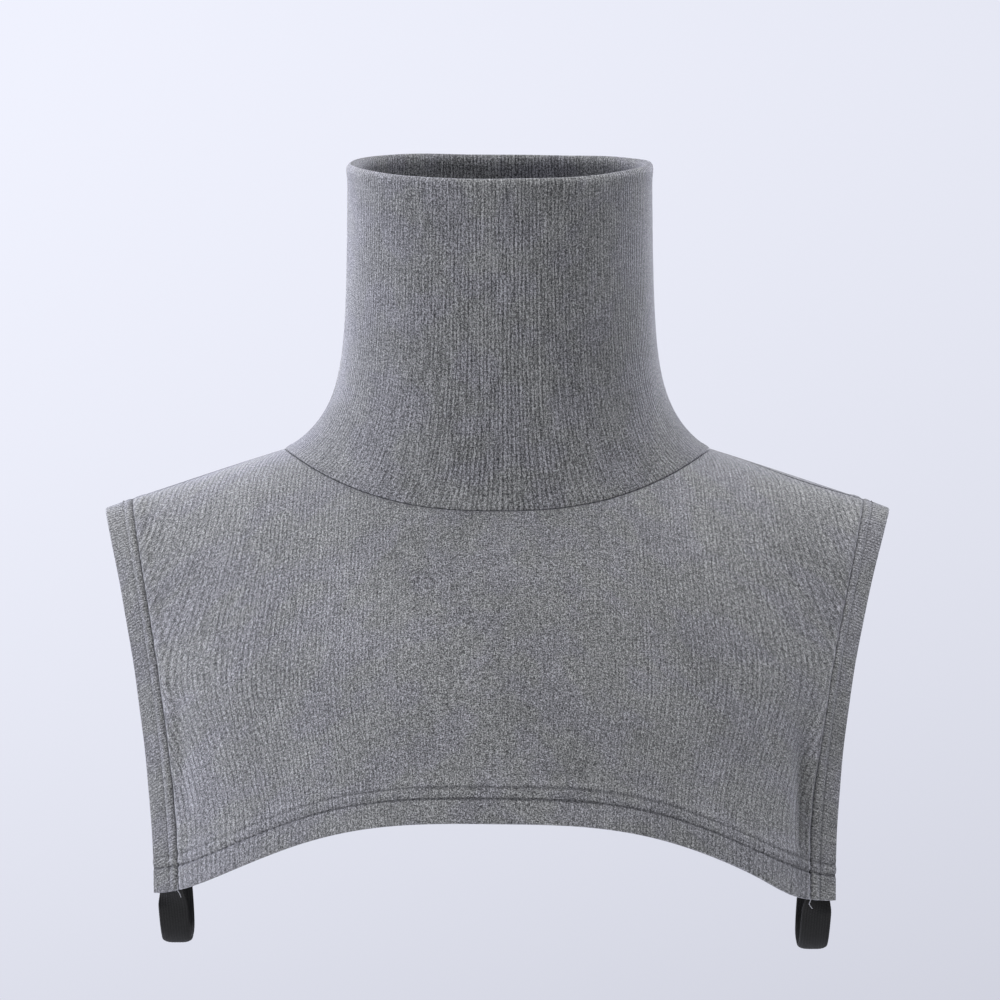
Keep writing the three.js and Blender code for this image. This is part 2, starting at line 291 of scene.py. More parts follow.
# The collar: one strip of knit, folded over at the top, so that two plies stand on the neck seam
collar = {
    "thickness": 2.6, "plyGap": 0.1,
    "height": 125.3, "halfWidth": 66.9, "aside": 0.8, "spread": 1.6, "halfDepth": 60,
    "footForward": 10,
    "lean": math.radians(9.1),
    "flareSide": 17, "flareFront": 24, "flareBack": 18,
    "columns": 440, "outerRows": 96, "innerRows": 50, "gapRows": 12, "foldSteps": 9,
    "footRoll": (0.7, 0.95),  # radius at which the outer ply turns into the seam, and its share
    "footLift": (0.35, 2.6, 2.2),  # the roll over the bibs: how far, its middle above the seam, width
    "rimBulge": (0.55, 1.8, 2.6),  # the fold is a little fuller: how far, middle below the top, width
    "rimSides": 1.5,  # the rim stands higher at the sides than a level cut
    "rimCrown": (0.15, 0.02),
    "measuredAt": 0.6,  # share of the wall's height at which its ribs are counted
    "crowding": 1.35,  # power that puts more rows near the foot
    "waveFrom": 30,  # millimetres from the foot at which the wall's waves are full
    "rimWaveFrom": 40,
    "rimWaves": [(2, 0.30, 0.7), (3, 0.22, 2.1), (5, 0.14, 0.4), (9, 0.08, 1.9)],
    "wallWaves": [(3, 0.35, 0.9, 1), (4, 0.25, 2.6, 2), (7, 0.16, 0.3, 1), (11, 0.08, 1.3, 3)],
}
collarAxis = np.array([0, -math.sin(collar["lean"]), math.cos(collar["lean"])])
collarForward = np.array([0, -math.cos(collar["lean"]), -math.sin(collar["lean"])])
collarFoot = np.array([0, -collar["footForward"], 0])


def tubePoint(angle, height):
    # An ellipse round the leaning middle line, a little wider at its foot.
    halfWidth = collar["halfWidth"] + collar["spread"] * (1 - height / collar["height"])
    across = collar["aside"] + halfWidth * np.cos(angle)
    forward = collar["halfDepth"] * np.sin(angle)
    sideways = np.array([1.0, 0, 0])
    parts = ((height, collarAxis), (across, sideways), (forward, collarForward))
    return collarFoot + sum(amount[..., None] * direction for amount, direction in parts)


def collarPoint(angle, share):
    # The tube, plus the way from the tube to the neck seam, which dies out up the wall as
    # exp(-height / flare length).
    angle, share = np.broadcast_arrays(angle, share)
    foot = bodyPoint(*neckAround(angle, 0))
    footHeight = (foot - collarFoot) @ collarAxis
    flare = foot - tubePoint(angle, footHeight)
    towards = np.where(np.sin(angle) >= 0, collar["flareFront"], collar["flareBack"])
    flareLength = mix(collar["flareSide"], towards, np.sin(angle) ** 2)
    height = mix(footHeight, collar["height"] - collar["thickness"] / 2, share)
    return tubePoint(angle, height) + flare * np.exp((footHeight - height) / flareLength)[..., None]


def collarNormal(angle, share):
    around = collarPoint(angle + tiny, share) - collarPoint(angle - tiny, share)
    upwards = collarPoint(angle, share + tiny) - collarPoint(angle, share - tiny)
    return unit(np.cross(upwards, around))


def makeCollar():
    # The section is a hairpin: up the outside, round the fold, down the inside, and back up and
    # down the thin space between the plies. It is swept round all the neck angles.
    angle = turnSteps(collar["columns"]) - math.pi / 2
    radius, gap = collar["thickness"] / 2, collar["plyGap"] / 2
    crowd = lambda count: np.linspace(0, 1, count) ** collar["crowding"]
    outerCount = collar["outerRows"]
    turn = np.linspace(0, math.pi, collar["foldSteps"])[1:-1]
    gapRows = crowd(collar["gapRows"])
    lines = [  # share of the wall, depth below the outside, rise above the wall's top
        (crowd(outerCount), 0, 0),
        (1, radius * (1 - np.cos(turn)), radius * np.sin(turn)),
        (crowd(collar["innerRows"])[::-1], 2 * radius, 0),
        (gapRows, radius + gap, 0),
        ([1], radius, gap),
        (gapRows[::-1], radius - gap, 0),
    ]
    share, depth, rise = np.concatenate([np.broadcast_arrays(*line) for line in lines], 1)[..., None]

    plain = collarPoint(angle[None, :], share)
    normal = collarNormal(angle[None, :], share)
    wall = runLength(plain[:outerCount])
    fromFoot = np.array([np.interp(share[:, 0], share[:outerCount, 0], column) for column in wall.T]).T
    fromTop = wall[-1] - fromFoot

    wave = sum(
        size * np.sin(count * angle + phase) * np.sin(math.pi * twist * share * 0.5 + phase)
        for count, size, phase, twist in collar["wallWaves"]
    )
    wave = wave * smooth(fromFoot, 0, collar["waveFrom"])
    bulge, lift = (
        collar[key][0] * bell(distance, *collar[key][1:])
        for key, distance in (("rimBulge", fromTop), ("footLift", fromFoot))
    )
    outside = np.where(np.arange(len(share)) < outerCount, 1.0, 0.0)[:, None]
    inside = (depth == 2 * radius) * 1.0
    rollRadius, rollShare = collar["footRoll"]
    roll = roundedIn(fromFoot, rollRadius) * rollShare
    rimTurn = np.clip(1 - np.abs(depth / radius - 1), 0, 1)  # 1 on top of the fold
    out = wave - depth + outside * (lift - roll + bulge) - inside * bulge
    rimWave = sum(size * np.sin(count * angle + phase) for count, size, phase in collar["rimWaves"])
    rimWave = rimWave + collar["rimSides"] * np.cos(angle) ** 2
    lifted = rise + rimWave * smooth(fromTop, collar["rimWaveFrom"], 0)
    crown, crownWidth = collar["rimCrown"]
    lifted = lifted + rimTurn * bell(share, 1, crownWidth) * crown * (rise > 0)
    points = plain + normal * out[..., None] + collarAxis * lifted[..., None]

    # Cloth coordinates: the width is shared out evenly over the ribs all round, and the length
    # runs up the wall, over the fold and down again.
    middleRow = np.argmin(np.abs(share[:outerCount, 0] - collar["measuredAt"]))
    ring = closed(points[middleRow], 0)
    pitch = knit["ribPitch"]["collar"]
    width = round(runLength(ring)[-1] / pitch) * pitch
    loop = closed(points, 1, 0)
    across = np.linspace(0, width, loop.shape[1])[None, :] + 0 * loop[..., 0]
    piece = placeRing("collar_knit", points, np.stack([across, runLength(loop)], -1))
    addAttribute(piece, "inside", inside + 0 * fromTop)
    print(f"collar: {width:.0f} mm round, wall {wall[-1].min():.0f} to {wall[-1].max():.0f} mm high")
    return piece


# Seam allowance: the raw edges of the neck seam, pressed down inside the bibs
seamAllowance = {
    "across": (-0.7, 6.5, 8),  # from and to, out from the seam, and the number of rows
    "step": (-0.5, 1.8), "under": 2.75, "rise": 1.35, "thickness": 0.9,
}


def makeSeamAllowance():
    # A flat band round the neck: it starts below the foot of the collar and rises to just below
    # the bibs. Its section is a closed loop, out along one face and back along the other.
    angle = turnSteps(collar["columns"])[None, :]
    offset = np.linspace(*seamAllowance["across"])[:, None]
    seam = neckAround(angle, offset)
    plain, normal = bodyPoint(*seam), bodyNormal(*seam)
    under = ease(offset, *seamAllowance["step"], seamAllowance["under"], seamAllowance["rise"])
    faces = [plain - normal * (under + below)[..., None] for below in (0, seamAllowance["thickness"])]
    ring = np.concatenate([faces[0], faces[1][::-1]])
    loop = closed(ring, 1, 0)
    cloth = np.stack([runLength(loop, 1), runLength(loop)], -1)
    return placeRing("neck_seam_allowance", ring, cloth)


# The bibs: one ply, with the sides and the bottom turned in and sewn with two needles
bibCloth = {
    "thickness": 1.2, "hemWidth": 17,
    "hemEdge": 1.2,  # width of the step where the turned-in cloth ends
    "bottomLines": [(11.0, 0.8, 0.8), (16.0, 0.40, 0.8)],  # from the edge, depth, half width
    "sideLines": [(13.0, 1.1, 0.75), (8.7, 0.35, 0.8)],
    "stitchPitch": 3.0,
    "pucker": 0.4,  # share of a groove's depth that comes and goes with the stitches
    "tunnel": (0.22, 1.5),  # the cloth stands up between the two rows: how far, half width
    "hemLoft": (0.55, 3),  # how far the doubled cloth stands proud, and over what it rises
    "seamRoll": 0.5,
    "topDistances": [0, 0.06, 0.16, 0.3, 0.5, 0.8, 1.3, 2.1, 3.3, 5, 7],
    "edgeDistances": [0, 0.06, 0.18, 0.38, 0.65, 1.0, 1.5, 2.2],
    "hemSpacing": 0.62,
    "nearLines": (-0.45, -0.2, 0, 0.2, 0.45),  # extra rows on each side of a line of stitches
    "hemWave": (128, 13, 2.0, 10),  # where the hem hangs lower: x, half width, drop, height it fades
    "nearGap": 0.7,
    "topFade": 6,  # from the top, the sewing and the dents grow over this length
    "hemZone": 20,
    "ripples": [(0.21, 1), (0.17, 2)],  # of the bottom edge and the sides: angle for each mm, start
    "ripple": 0.12, "rippleAt": (2, 6),
    "innerRelief": 0.6,  # share of the sewing's relief that shows inside
    "stripShift": 50,  # start of the right side strip in the cloth's coordinates
    "neckColumns": 190, "sideColumns": 40, "middleRows": 76,
    "integralSteps": 24, "leastFall": 0.01,
}
# Soft dents of the worn front: x, z, half width, half height, depth (towards the body)
frontDents = [
    (134, -150, 5.5, 32, 3.4),
    (-138, -140, 5, 42, 1.0),
    (-118, -150, 16, 34, -0.9),
    (-96, -70, 26, 22, 0.8),
    (88, -92, 30, 30, 0.7),
    (30, -140, 60, 18, 0.6),
    (-60, -170, 22, 10, -0.7),
]
backDents = [
    (-132, -150, 6, 30, 1.2),
    (130, -150, 6, 34, 1.0),
    (-40, -60, 30, 26, 0.7),
    (60, -120, 40, 30, 0.8),
]


# How far the ribs are spread over the chest, from the shoulders down and towards the sides
ribSpread = {
    "reach": 130,
    "spread": (-20, -110, 0.7, 1.2),  # heights between which it grows, and its values there
    "gather": (-90, -165, 1, 0.92),
    "combed": (20, 80),
}


def ribAcross(across, z):
    # The relaxed width of the cloth from its middle line. Its ribs are spread 1 + a * (s / reach)^2
    # times at a length s across, so the width is the sum of the inverse, an arc tangent, and a grows
    # from the shoulders down. Near the hem all of it is gathered a little.
    reach, spread = ribSpread["reach"], np.sqrt(ease(z, *ribSpread["spread"]))
    return reach / spread * np.arctan(spread * across / reach) / ease(z, *ribSpread["gather"])


def stepsTo(values):
    # The values from nothing to their full size, in even steps.
    return np.stack([values * step for step in np.linspace(0, 1, bibCloth["integralSteps"])])


def clothAcross(bib, x, z):
    # Length across the cloth from its middle line, level with the point: chords from 0 to x.
    at = stepsTo(x)
    below = np.minimum(z, ridgeHeight(at) - bibCloth["leastFall"])
    return np.sign(x) * runLength(bodyPoint(at, reachAt(bib, at, below)))[-1]


def clothDown(x, reach):
    # Length of the arch from the shoulder line down to the point.
    return runLength(bodyPoint(x, stepsTo(reach)))[-1]


def makeBib(name, bib, dents):
    # A grid of u across and v down the bib, closer near its hems and seams. The outside is the
    # worn shape moved along its normal by the relief of the sewing, and the inside lies one or
    # two plies below it. Both curve together at the border.
    turn = bibCloth["hemEdge"]
    inEdge = np.array(bibCloth["edgeDistances"])
    inHem = np.arange(inEdge[-1], bibCloth["hemZone"], bibCloth["hemSpacing"])[1:]
    for line in (bibCloth["bottomLines"][0], bibCloth["sideLines"][0]):
        inHem = inHem[np.abs(inHem - line[0]) > bibCloth["nearGap"]]
        inHem = np.union1d(inHem, line[0] + np.array(bibCloth["nearLines"]))
    hemAt = np.concatenate([inEdge, inHem])[::-1]  # distances from the edge, ending at 0
    neckU = np.linspace(-neckShare, neckShare, bibCloth["neckColumns"])
    spread = np.linspace(0, 1, bibCloth["sideColumns"])[1:-1]
    # Right half of the columns: a share of the way to the hem zone, or a distance from the edge
    sideSpread = np.concatenate([spread, np.ones(len(hemAt))])
    sideAt = np.concatenate([np.full(len(spread), hemAt[0]), hemAt])
    columns = lambda left, neck, right: np.concatenate([left[::-1], neck, right])
    ones = np.ones(len(sideAt))
    isSide = columns(ones, 0 * neckU, ones) > 0
    side = columns(-ones, np.sign(neckU), ones)
    spreads = columns(sideSpread, 0 * neckU, sideSpread)
    distances = columns(sideAt, 0 * neckU, sideAt)
    neckUs = columns(0 * ones, neckU, 0 * ones)

    roughU = np.where(isSide, side * mix(neckShare, 1, spreads), neckUs)[None, :]
    topV = np.array(bibCloth["topDistances"])[:, None] / topSpeed(bib, roughU)
    hemV = 1 - hemAt[:, None] / hemSpeed(bib, roughU)
    share = np.linspace(0, 1, bibCloth["middleRows"])[1:-1, None]
    v = np.concatenate([topV, mix(topV[-1], hemV[0], share), hemV])
    speed = np.where(side > 0, sideSpeed(bib, 1, v), sideSpeed(bib, -1, v))
    outerU = 1 - distances / speed
    u = np.where(isSide, side * mix(neckShare, outerU, spreads), neckUs)

    x, reach = onBib(bib, u, v)
    plain, normal = bodyPoint(x, reach), bodyNormal(x, reach)
    fromSide = (1 - np.abs(u)) * speed
    fromHem = (1 - v) * hemSpeed(bib, u)
    fromTop = v * topSpeed(bib, u)
    fromEdge = np.minimum(np.minimum(fromSide, fromHem), fromTop)

    grown = smooth(fromTop, 0, bibCloth["topFade"])
    relief = sewnRelief(plain, fromSide, fromHem) * grown
    bent = 0 * relief
    for atX, atZ, halfWidth, halfHeight, deep in dents:
        bent -= deep * bell(plain[..., 0], atX, halfWidth) * bell(plain[..., 2], atZ, halfHeight)
    bent *= grown
    hemmed = smooth(np.minimum(fromHem, fromSide), bibCloth["hemWidth"] + turn, bibCloth["hemWidth"])
    thickness = bibCloth["thickness"] * (1 + hemmed)
    border = roundedIn(fromEdge, thickness / 2)
    seam = roundedIn(fromTop, bibCloth["seamRoll"])
    if bib is frontBib:
        at, width, drop, height = bibCloth["hemWave"]
        plain = plain.copy()
        plain[..., 2] -= drop * bell(plain[..., 0], at, width) * smooth(fromHem, height, 0)
    outer = plain + normal * (bent + relief - np.maximum(border, seam))[..., None]
    inner = plain + normal * (bent + relief * bibCloth["innerRelief"] - thickness + border)[..., None]
    # The border is where the two layers meet
    middle = plain + normal * (bent + relief - thickness / 2)[..., None]
    for line in (np.s_[0, :], np.s_[-1, :], np.s_[:, 0], np.s_[:, -1]):
        outer[line] = middle[line]

    # Cloth coordinates: relaxed millimetres across, and the length down the bib
    across, down = clothAcross(bib, x, plain[..., 2]), clothDown(x, reach)
    cloth = np.stack([ribAcross(across, plain[..., 2]), down], -1)
    # The turned-in strips at the sides have their ribs across them
    shift = np.where(side > 0, bibCloth["stripShift"], 0)
    strip = np.stack([runLength(plain), fromSide + shift], -1)
    cloth = np.where((fromSide < bibCloth["sideLines"][0][0])[..., None], strip, cloth)
    points, patches = sheetPatches(outer, inner, cloth)
    piece = placePiece(name, points, patches)
    inside = np.s_[1:-1, 1:-1]
    combed = smooth(np.abs(across), *ribSpread["combed"])
    fields = {"fromSide": fromSide, "fromHem": fromHem, "fromTop": fromTop, "combed": combed}
    for key, values in fields.items():
        addAttribute(piece, key, np.concatenate([values.ravel(), values[inside].ravel()]))
    return piece


def sewnRelief(plain, fromSide, fromHem):
    # Proud where the hem doubles the cloth, pulled in along each row of stitches, with a ridge
    # between the two rows, small puckers at the pitch of the stitches and a ripple at the edge.
    pitch = 2 * math.pi / bibCloth["stitchPitch"]
    edge, (loft, slope) = bibCloth["hemWidth"], bibCloth["hemLoft"]
    height, width = bibCloth["tunnel"]
    nearest = np.minimum(fromHem, fromSide)
    total = loft * smooth(nearest, edge + slope, edge)
    for lines, distance, along, (turns, start) in (
        (bibCloth["bottomLines"], fromHem, plain[..., 0], bibCloth["ripples"][0]),
        (bibCloth["sideLines"], fromSide, plain[..., 2], bibCloth["ripples"][1]),
    ):
        come = 1 - bibCloth["pucker"] * (0.5 + 0.5 * np.cos(pitch * along))
        for at, deep, wide in lines:
            total = total - deep * come * bell(distance, at, wide)
        between = (lines[0][0] + lines[1][0]) / 2
        total = total + height * bell(distance, between, width)
        rippled = bibCloth["ripple"] * bell(distance, *bibCloth["rippleAt"])
        total = total + rippled * np.sin(turns * along + start)
    return total


# The rows of stitches on the hems
stitches = {
    "length": 2.3, "radius": 0.17, "taper": 0.55, "sides": 6, "stations": 6,
    "rise": 0.2, "sink": 0.28,
    "across": (-0.997, 0.997, 500),  # first and last place of a row, and points to measure it by
    "down": (0.012, 0.996, 400),
}


def stitchRow(place, direction, normal):
    # Each stitch is a thread that arcs over the groove by a sine and dives in at both ends.
    # place, direction and normal hold one row for each stitch.
    count, stations, sides = len(place), stitches["stations"], stitches["sides"]
    share = np.linspace(0, 1, stations)[None, :, None]
    turn = turnSteps(sides)[None, None, :]
    along = (share - 0.5) * stitches["length"]
    fromMiddle = np.abs(2 * share - 1)
    height = stitches["rise"] * np.sin(math.pi * share) - stitches["sink"] * fromMiddle**3
    radius = stitches["radius"] * (1 - stitches["taper"] * fromMiddle**4)
    sideways = unit(np.cross(direction, normal))
    lift = height + radius * np.cos(turn)
    aside = radius * np.sin(turn)
    axes = (direction, normal, sideways)
    parts = zip((along + 0 * turn, lift, aside + 0 * share), axes)
    points = sum(part[..., None] * axis[:, None, None, :] for part, axis in parts)
    return (place[:, None, None, :] + points).reshape(count, stations * sides, 3)


def tubeFaces(numbers):
    # The squares round a tube of six sides, and two more on each of its ends.
    after = np.roll(numbers, -1, axis=1)
    tube = np.stack([numbers[:-1], after[:-1], after[1:], numbers[1:]], -1).reshape(-1, 4)
    first, last = numbers[0], numbers[-1]
    ends = [first[[3, 2, 1, 0]], first[[5, 4, 3, 0]], last[[0, 1, 2, 3]], last[[0, 3, 4, 5]]]
    return np.concatenate([tube, np.array(ends)])


def stitchFaces(count):
    # The faces of one stitch, repeated for every stitch.
    stations, sides = stitches["stations"], stitches["sides"]
    one = tubeFaces(np.arange(stations * sides).reshape(stations, sides))
    return (one[None] + stations * sides * np.arange(count)[:, None, None]).reshape(-1, 4)


def loosePiece(name, points, faces):
    mesh = bpy.data.meshes.new(name)
    mesh.from_pydata((points * metresPerMm).tolist(), [], faces.tolist())
    mesh.update()
    return addPiece(name, mesh)


def alongLine(bib, u, v):
    # Evenly spaced stitch places on a line of the bib, with its direction and the normal there.
    x, reach = onBib(bib, u, v)
    line = bodyPoint(x, reach)
    length = runLength(line)
    count = int(length[-1] / bibCloth["stitchPitch"])
    at = (np.arange(count) + 0.5) * length[-1] / count
    pick = lambda values: np.stack([np.interp(at, length, column) for column in values.T], -1)
    direction = unit(pick(np.gradient(line, axis=0)))
    normal = unit(pick(bodyNormal(x, reach)))
    return pick(line), direction, normal


def makeStitches(name, bib):
    # Two rows along the bottom and two down each side, each at its distance from the edge.
    rows = []
    across, down = np.linspace(*stitches["across"]), np.linspace(*stitches["down"])
    for at, deep, wide in bibCloth["bottomLines"]:
        rows.append((*alongLine(bib, across, 1 - at / hemSpeed(bib, across)), deep))
    for side in (-1, 1):
        for at, deep, wide in bibCloth["sideLines"]:
            rows.append((*alongLine(bib, side * (1 - at / sideSpeed(bib, side, down)), down), deep))
    points = []
    for place, direction, normal, deep in rows:
        lift = bibCloth["hemLoft"][0] - deep * (1 - bibCloth["pucker"] * 0.5)
        points.append(stitchRow(place + normal * lift, direction, normal))
    points = np.concatenate(points)
    return loosePiece(name, points.reshape(-1, 3), stitchFaces(len(points)))


# The elastic loops under the arms
elastic = {
    "width": 13, "thickness": 1.2,
    "inset": 7.2, "overlap": 13, "drop": 25,
    "swing": 2, "twist": 8, "clearance": 0.8,
    "loopShape": [(0.0, 0.3), (0.03, 0.62), (0.14, 0.88), (0.31, 0.98)],  # across, drop
    "rows": 240, "columns": 57,
    "cords": 11, "cordHeight": 0.035,
    "curl": (1.9, 45),  # how far its edges turn up at the bottom of the loop, over what length
    "pathSteps": 40,
    "wander": (0.008, 1.1),  # its width comes and goes by this share, at this pitch
    "edgeRound": 0.6, "overlapSteps": 4,
    "cordFade": (0.2, 1.2),
    "crowding": 0.25,  # share of a sine that brings the columns closer at its edges
}


def smoothPath(points, perSpan):
    # A cubic through every point, with its knots spaced by the square root of the chords.
    ends = (2 * points[:1] - points[1:2], 2 * points[-1:] - points[-2:-1])
    p = np.concatenate([ends[0], points, ends[1]])
    gap = np.sqrt(np.linalg.norm(np.diff(p, axis=0), axis=1))[:, None]
    before, here, after = gap[:-2], gap[1:-1], gap[2:]
    p0, p1, p2, p3 = p[:-3], p[1:-2], p[2:-1], p[3:]
    leave = ((p1 - p0) / before - (p2 - p0) / (before + here) + (p2 - p1) / here) * here
    arrive = ((p2 - p1) / here - (p3 - p1) / (here + after) + (p3 - p2) / after) * here
    t = np.linspace(0, 1, perSpan, endpoint=False)[None, :, None]
    p1, p2, leave, arrive = (part[:, None, :] for part in (p1, p2, leave, arrive))
    curve = p1 + leave * t + (3 * (p2 - p1) - 2 * leave - arrive) * t**2
    curve = curve + (2 * (p1 - p2) + leave + arrive) * t**3
    return np.concatenate([curve.reshape(-1, 3), points[-1:]])


def makeElastic(name, side):
    # A tape swept along a smooth path: up behind the front hem, down into a slack loop and up
    # behind the back hem. Its width turns from the level line of the bib to X below the hem.
    inset = 2 * bibCloth["thickness"] + elastic["clearance"] + elastic["thickness"] / 2
    ends = []
    for bib in (frontBib, backBib):
        u = side * (1 - elastic["inset"] / sideSpeed(bib, side, np.array(1.0)))
        heights = np.linspace(elastic["overlap"], 0, elastic["overlapSteps"])
        v = 1 - heights / hemSpeed(bib, u)
        x, reach = onBib(bib, u + 0 * v, v)
        normal = bodyNormal(x, reach)
        level = unit(np.cross([0, 0, 1.0], normal[-1]) * -bib["facing"])
        ends.append((level, bodyPoint(x, reach) - normal * inset))
    start, finish = ends[0][1][-1], ends[1][1][-1]
    across, drops = np.array(elastic["loopShape"]).T[..., None]
    share = np.concatenate([across, [[0.5]], 1 - across[::-1]])
    drop = np.concatenate([drops, [[1.0]], drops[::-1]])
    hang = mix(start, finish, share) - drop * np.array([side * elastic["swing"], 0, elastic["drop"]])
    path = smoothPath(np.concatenate([ends[0][1], hang, ends[1][1][::-1]]), elastic["pathSteps"])

    length = runLength(path)
    at = np.linspace(0, length[-1], elastic["rows"])
    middle = np.stack([np.interp(at, length, column) for column in path.T], -1)
    tangent = unit(np.gradient(middle, axis=0))
    frontHalf = (at < length[-1] / 2)[:, None]
    below = np.where(frontHalf, start[2], finish[2])[:, 0] - middle[:, 2]
    turned = smooth(below, 0, elastic["twist"])[:, None]
    wide = mix(np.where(frontHalf, ends[0][0], ends[1][0]), np.array([1.0, 0, 0]), turned)
    wide = unit(wide - tangent * np.sum(wide * tangent, -1, keepdims=True))
    face = unit(np.cross(tangent, wide))

    # Across the tape: closer columns at its edges, which curve in, and raised cords between
    t = np.linspace(-1, 1, elastic["columns"])
    crowding = elastic["crowding"]
    s = np.sin(t * math.pi / 2) * crowding + t * (1 - crowding)
    amount, pitch = elastic["wander"]
    half = elastic["width"] / 2 * (1 + amount * np.sin(2 * math.pi * at / pitch))[:, None]
    fromEdge = np.minimum((1 - np.abs(s))[None, :] * half, np.minimum(at, length[-1] - at)[:, None])
    thick = elastic["thickness"] / 2
    cords = elastic["cordHeight"] * np.cos(math.pi * elastic["cords"] * s)[None, :]
    cords = cords * smooth(fromEdge, *elastic["cordFade"])
    lift = thick - roundedIn(fromEdge, elastic["edgeRound"]) + cords
    lift = np.where(fromEdge < 1e-6, 0, lift)
    flat = middle[:, None] + wide[:, None] * (half * s)[..., None]
    turnUp, overLength = elastic["curl"]
    flat[..., 2] += turnUp * bell(at, length[-1] / 2, overLength)[:, None] * np.abs(s) ** 4
    cloth = np.stack([half * s + 0 * at[:, None], at[:, None] + 0 * s], -1)
    layers = [flat + face[:, None] * (sign * lift)[..., None] for sign in (1, -1)]
    points, patches = sheetPatches(*layers, cloth)
    return placePiece(name, points, patches)


# Ends of sewing thread at the lower corners: share along the hem, and points from its edge there
looseThread = {"radius": 0.16, "tip": 0.15, "pathSteps": 12}
rightFall = [(0, 0.4, 3), (0.3, -0.3, 0), (1.1, -0.6, -2), (0.6, -0.5, -3.6), (2.0, -0.6, -5.6)]
leftFall = [(0, 0.4, 3), (-0.2, -0.3, 0), (0.8, -0.6, -1.6), (1.4, -0.6, -3.2)]
looseEnds = [("right_thread_end", 0.913, rightFall), ("left_thread_end", -0.925, leftFall)]


def makeLooseEnd(name, u, falls):
    # A round thread along a smooth path, closed at both ends by points pulled together.
    edge = bibPoint(frontBib, np.array(u), np.array(1.0))
    path = smoothPath(edge + np.array(falls), looseThread["pathSteps"])
    tangent = unit(np.gradient(path, axis=0))
    aside = unit(np.cross(tangent, [0.3, -1.0, 0.2]))
    above = np.cross(aside, tangent)
    turn = turnSteps(stitches["sides"])
    steps = np.arange(len(path))
    thin = looseThread["radius"] * np.clip(np.minimum(steps, steps[::-1]), looseThread["tip"], 1)
    ring = aside[:, None] * np.cos(turn)[:, None] + above[:, None] * np.sin(turn)[:, None]
    tube = path[:, None] + ring * thin[:, None, None]
    return loosePiece(name, tube.reshape(-1, 3), tubeFaces(numbersOf(tube)))


class Wire:
    # A shader value, on which Python's operators add Math nodes.
    def __init__(self, tree, socket=None):
        self.tree = tree
        self.socket = socket

    def node(self, kind, settings, values, output=0):
        made = self.tree.nodes.new("ShaderNode" + kind)
        for name, value in settings.items():
            setattr(made, name, value)
        for name, value in values.items():
            if isinstance(value, Wire):
                self.tree.links.new(value.socket, made.inputs[name])
            else:
                made.inputs[name].default_value = value
        return Wire(self.tree, made.outputs[output])

    def maths(self, operation, *values):
        return self.node("Math", {"operation": operation}, dict(enumerate((self, *values))))

    def attribute(self, name):
        return self.node("Attribute", {"attribute_name": name}, {}, 2)

    def cloth(self):
        return self.node("UVMap", {"uv_map": "cloth"}, {})

    def position(self):
        # Object coordinates, in metres.
        return self.node("TexCoord", {}, {}, 3)

    def axis(self, number):
        return self.node("SeparateXYZ", {}, {0: self}, number)

    def __add__(self, other):
        return self.maths("ADD", other)

    def __mul__(self, other):
        return self.maths("MULTIPLY", other)

    def __sub__(self, other):
        return self.maths("SUBTRACT", other)

    def __rsub__(self, other):
        return self.maths("MULTIPLY_ADD", -1, other)

    def __truediv__(self, other):
        return self.maths("DIVIDE", other)

    def cosine(self):
        return self.maths("COSINE")

    def between(self, low, high):
        return self * (high - low) + low

    def weighted(self, wires, shares):
        # The sum of the wires, each times its share.
        first, *others = (wire * share for wire, share in zip(wires, shares))
        return sum(others, first)

    def ramp(self, low, high):
        # 0 at low and 1 at high, with an s-curve between.
        values = {"Value": self, "From Min": low, "From Max": high}
        return self.node("MapRange", {"interpolation_type": "SMOOTHSTEP"}, values)

    def bell(self, middle, width):
        # 1 at the middle, falling away as a gaussian.
        away = (self - middle) / width
        return (away * away * -1).maths("EXPONENT")

    def blend(self, a, b):
        # A colour between a and b, with this value as the share.
        return self.node("Mix", {"data_type": "RGBA"}, {0: self, 6: (*a, 1), 7: (*b, 1)}, 2)

    def times(self, colour):
        values = {0: 1.0, 6: self, 7: colour}
        return self.node("Mix", {"data_type": "RGBA", "blend_type": "MULTIPLY"}, values, 2)

    def throughColours(self, colours):
        # The colours as even stops of a ramp from 0 to 1.
        made = self.node("ValToRGB", {}, {0: self})
        elements = made.socket.node.color_ramp.elements
        while len(elements) < len(colours):
            elements.new(0.5)
        for number, colour in enumerate(colours):
            elements[number].position = number / (len(colours) - 1)
            elements[number].color = (*colour, 1)
        return made

    def bump(self, strength, distance):
        values = {"Strength": strength, "Distance": distance, "Height": self}
        return self.node("Bump", {}, values)

    def noise(self, scales, detail=2, roughness=0.5, shift=0):
        # Soft noise on a vector whose axes are stretched by the scales.
        stretch = {0: self, 1: (*scales, 1), 2: (shift, shift, shift)}
        stretched = self.node("VectorMath", {"operation": "MULTIPLY_ADD"}, stretch)
        values = {"Vector": stretched, "Scale": 1, "Detail": detail, "Roughness": roughness}
        return self.node("TexNoise", {"noise_dimensions": "2D"}, values)


def newMaterial(name, fixed):
    material = bpy.data.materials.new(name)
    material.use_nodes = True
    shader = material.node_tree.nodes["Principled BSDF"]
    for key, value in fixed.items():
        shader.inputs[key].default_value = value
    return material, Wire(material.node_tree)


def plugIn(material, wires):
    shader = material.node_tree.nodes["Principled BSDF"]
    for key, wire in wires.items():
        material.node_tree.links.new(wire.socket, shader.inputs[key])
    return material


